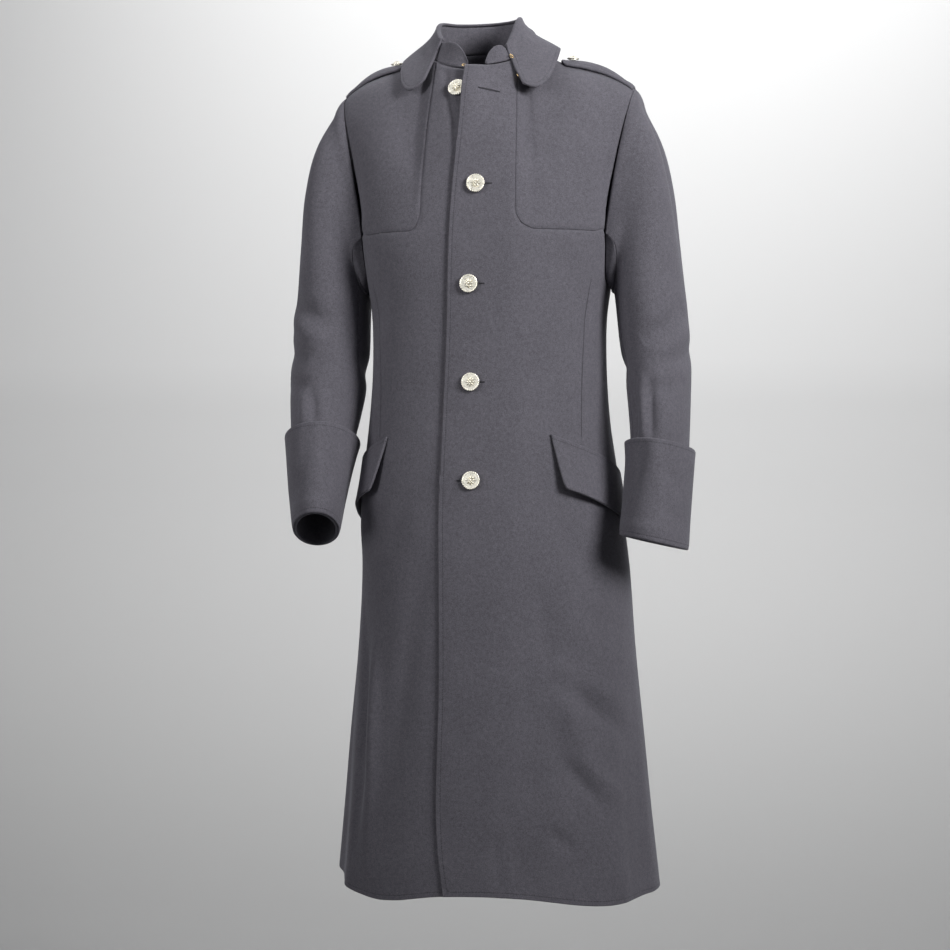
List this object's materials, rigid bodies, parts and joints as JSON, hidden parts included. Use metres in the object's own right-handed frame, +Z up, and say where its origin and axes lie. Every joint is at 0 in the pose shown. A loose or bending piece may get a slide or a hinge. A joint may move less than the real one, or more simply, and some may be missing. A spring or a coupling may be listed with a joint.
{
  "type": "military greatcoat",
  "caption": "Single-breasted mid-calf wool greatcoat with fall collar, front yokes, shoulder straps, turned-back cuffs, slanted pocket flaps and domed metal buttons",
  "frame": {"origin": "middle of the neck opening at the level of the neck's base, where the wearer's neck and shoulders hold the coat", "axes": "+X to the wearer's left, +Y to the back, +Z up along the coat's length"},
  "size_m": [0.5921, 0.3585, 1.2615],
  "materials": {
    "wool": "matt fulled grey melton wool with a short nap",
    "silver": "polished plated button metal",
    "brass": "small drawn wire hook and eye"
  },
  "bodies": {
    "root": {"front_left": "wool", "front_right": "wool", "yoke_left": "wool", "yoke_right": "wool", "back_left": "wool", "back_right": "wool", "sleeve_left_top": "wool", "sleeve_left_under": "wool", "sleeve_right_top": "wool", "sleeve_right_under": "wool", "cuff_left": "wool", "cuff_right": "wool", "collar_stand": "wool", "collar_fall": "wool", "shoulder_strap_left": "wool", "shoulder_strap_right": "wool", "pocket_flap_left": "wool", "pocket_flap_right": "wool", "button_1": "silver", "button_2": "silver", "button_3": "silver", "button_4": "silver", "button_5": "silver", "strap_button_left": "silver", "strap_button_right": "silver"}
  },
  "joints": []
}
